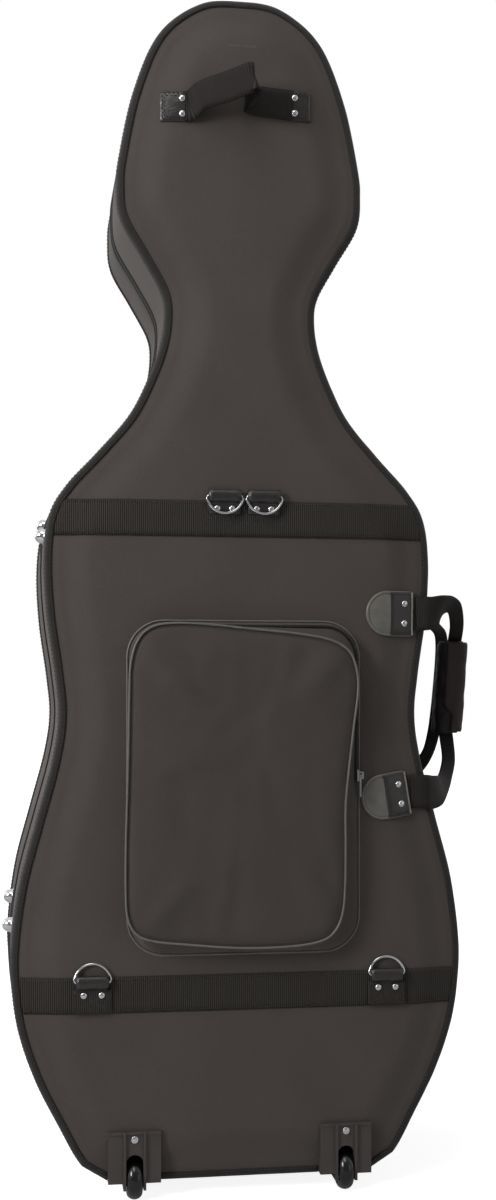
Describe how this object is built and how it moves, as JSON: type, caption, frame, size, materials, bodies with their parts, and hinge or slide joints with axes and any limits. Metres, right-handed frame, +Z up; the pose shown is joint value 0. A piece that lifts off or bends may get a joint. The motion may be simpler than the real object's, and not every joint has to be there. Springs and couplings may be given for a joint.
{
  "type": "cello hard case",
  "caption": "Standing hard case for a cello with a hinged lid, music pocket, side and neck handles, strap rings and wheels.",
  "frame": {"origin": "on the floor, under the middle of the standing case's overall box", "axes": "+Z up along the case, +X towards the side handle, +Y from the back panel to the lid"},
  "size_m": [0.5554, 0.328, 1.3297],
  "materials": {
    "nylon": "woven",
    "velour": "plush",
    "edge_tape": "woven tape",
    "webbing": "ribbed",
    "zip_tape": "zip",
    "leatherette": "grained",
    "pocket_cloth": "woven",
    "wrap_cloth": "woven",
    "chrome": "polished",
    "black_metal": "satin",
    "moulded_plastic": "fine texture",
    "wheel_rubber": "smooth",
    "foam": "plush over foam"
  },
  "bodies": {
    "back_case": {"back_shell": "nylon", "back_liner": "velour", "back_binding": "edge_tape", "back_binding_base": "edge_tape", "upper_band": "webbing", "lower_band": "webbing", "back_zip_tape": "zip_tape", "neck_tab_left": "leatherette", "neck_tab_right": "leatherette", "neck_rivets_left": "chrome", "neck_rivets_right": "chrome", "upper_left_ring_tab": "leatherette", "upper_right_ring_tab": "leatherette", "lower_left_ring_tab": "leatherette", "lower_right_ring_tab": "leatherette", "upper_ring_rivets": "chrome", "lower_left_ring_rivets": "chrome", "lower_right_ring_rivets": "chrome", "upper_handle_tab": "leatherette", "lower_handle_tab": "leatherette", "upper_handle_rivets": "chrome", "lower_handle_rivets": "chrome", "pocket_pouch": "pocket_cloth", "wheel_bracket_left": "moulded_plastic", "wheel_bracket_right": "moulded_plastic", "axle_left": "black_metal", "axle_right": "black_metal", "bracket_screw_left": "chrome", "bracket_screw_right": "chrome", "back_foot_upper": "chrome", "back_foot_lower": "chrome", "neck_cradle": "foam", "neck_strap": "webbing", "end_block": "foam", "neck_handle": "webbing"},
    "lid": {"lid_shell": "nylon", "lid_liner": "velour", "lid_binding": "edge_tape", "lid_zip_tape": "zip_tape", "lid_upper_tab": "leatherette", "lid_lower_tab": "leatherette", "lid_foot_upper": "chrome", "lid_foot_lower": "chrome", "stand_foot_left": "chrome", "stand_foot_right": "chrome"},
    "side_handle": {"back_handle_strap": "webbing", "handle_grip": "wrap_cloth"},
    "lid_handle": {"lid_handle_strap": "webbing"},
    "left_wheel": {"wheel_left": "wheel_rubber"},
    "right_wheel": {"wheel_right": "wheel_rubber"},
    "upper_left_d_ring": {"upper_left_ring": "chrome"},
    "upper_right_d_ring": {"upper_right_ring": "chrome"},
    "lower_left_d_ring": {"lower_left_ring": "chrome"},
    "lower_right_d_ring": {"lower_right_ring": "chrome"},
    "main_slider": {"zip_slider": "black_metal"},
    "main_pull": {"zip_pull": "black_metal"},
    "music_slider": {"pocket_slider": "black_metal"},
    "music_pull": {"pocket_pull": "black_metal"},
    "left_bow_clip": {"bow_clip_left": "moulded_plastic"},
    "right_bow_clip": {"bow_clip_right": "moulded_plastic"}
  },
  "joints": [
    {"name": "lid_hinge", "type": "hinge", "parent": "back_case", "child": "lid", "pos_m": [-0.25256, 0.01224, 0.5], "axis": [0.0819, 0, 0.9966], "range_deg": [0, 150]},
    {"name": "side_handle_swing", "type": "hinge", "parent": "back_case", "child": "side_handle", "pos_m": [0.18336, -0.11518, 0.54646], "axis": [-0.0301, -0.008, -0.9995], "range_deg": [0, 105]},
    {"name": "lid_handle_swing", "type": "hinge", "parent": "lid", "child": "lid_handle", "pos_m": [0.18336, 0.13173, 0.54646], "axis": [0.0301, -0.0545, 0.9981], "range_deg": [0, 105]},
    {"name": "left_wheel_spin", "type": "hinge", "parent": "back_case", "child": "left_wheel", "pos_m": [-0.13211, -0.10976, 0.022], "axis": [1, 0, 0], "continuous": true},
    {"name": "right_wheel_spin", "type": "hinge", "parent": "back_case", "child": "right_wheel", "pos_m": [0.10389, -0.10976, 0.022], "axis": [1, 0, 0], "continuous": true},
    {"name": "upper_left_ring_swing", "type": "hinge", "parent": "back_case", "child": "upper_left_d_ring", "pos_m": [-0.03311, -0.12516, 0.775], "axis": [-1, 0, 0], "range_deg": [0, 150]},
    {"name": "upper_right_ring_swing", "type": "hinge", "parent": "back_case", "child": "upper_right_d_ring", "pos_m": [0.01089, -0.12516, 0.775], "axis": [-1, 0, 0], "range_deg": [0, 150]},
    {"name": "lower_left_ring_swing", "type": "hinge", "parent": "back_case", "child": "lower_left_d_ring", "pos_m": [-0.17811, -0.12516, 0.242], "axis": [1, 0, 0], "range_deg": [0, 155]},
    {"name": "lower_right_ring_swing", "type": "hinge", "parent": "back_case", "child": "lower_right_d_ring", "pos_m": [0.14989, -0.12516, 0.242], "axis": [1, 0, 0], "range_deg": [0, 155]},
    {"name": "left_bow_clip_turn", "type": "hinge", "parent": "lid", "child": "left_bow_clip", "pos_m": [-0.13211, 0.13024, 0.429], "axis": [0, 1, 0], "range_deg": [0, 90]},
    {"name": "right_bow_clip_turn", "type": "hinge", "parent": "lid", "child": "right_bow_clip", "pos_m": [0.10389, 0.13024, 0.429], "axis": [0, -1, 0], "range_deg": [0, 90]},
    {"name": "main_zip_slide", "type": "slide", "parent": "back_case", "child": "main_slider", "axis": [-0.0112, 0, 0.9999], "range_m": [0, 0.045]},
    {"name": "main_pull_swing", "type": "hinge", "parent": "main_slider", "child": "main_pull", "pos_m": [0.24605, 0.01224, 0.26202], "axis": [0, -1, 0], "range_deg": [0, 150]},
    {"name": "music_zip_slide", "type": "slide", "parent": "back_case", "child": "music_slider", "axis": [0, 0, 1], "range_m": [0, 0.115]},
    {"name": "music_pull_swing", "type": "hinge", "parent": "music_slider", "child": "music_pull", "pos_m": [0.1189, -0.13134, 0.46595], "axis": [-0.3032, -0.9529, 0], "range_deg": [0, 150]}
  ]
}
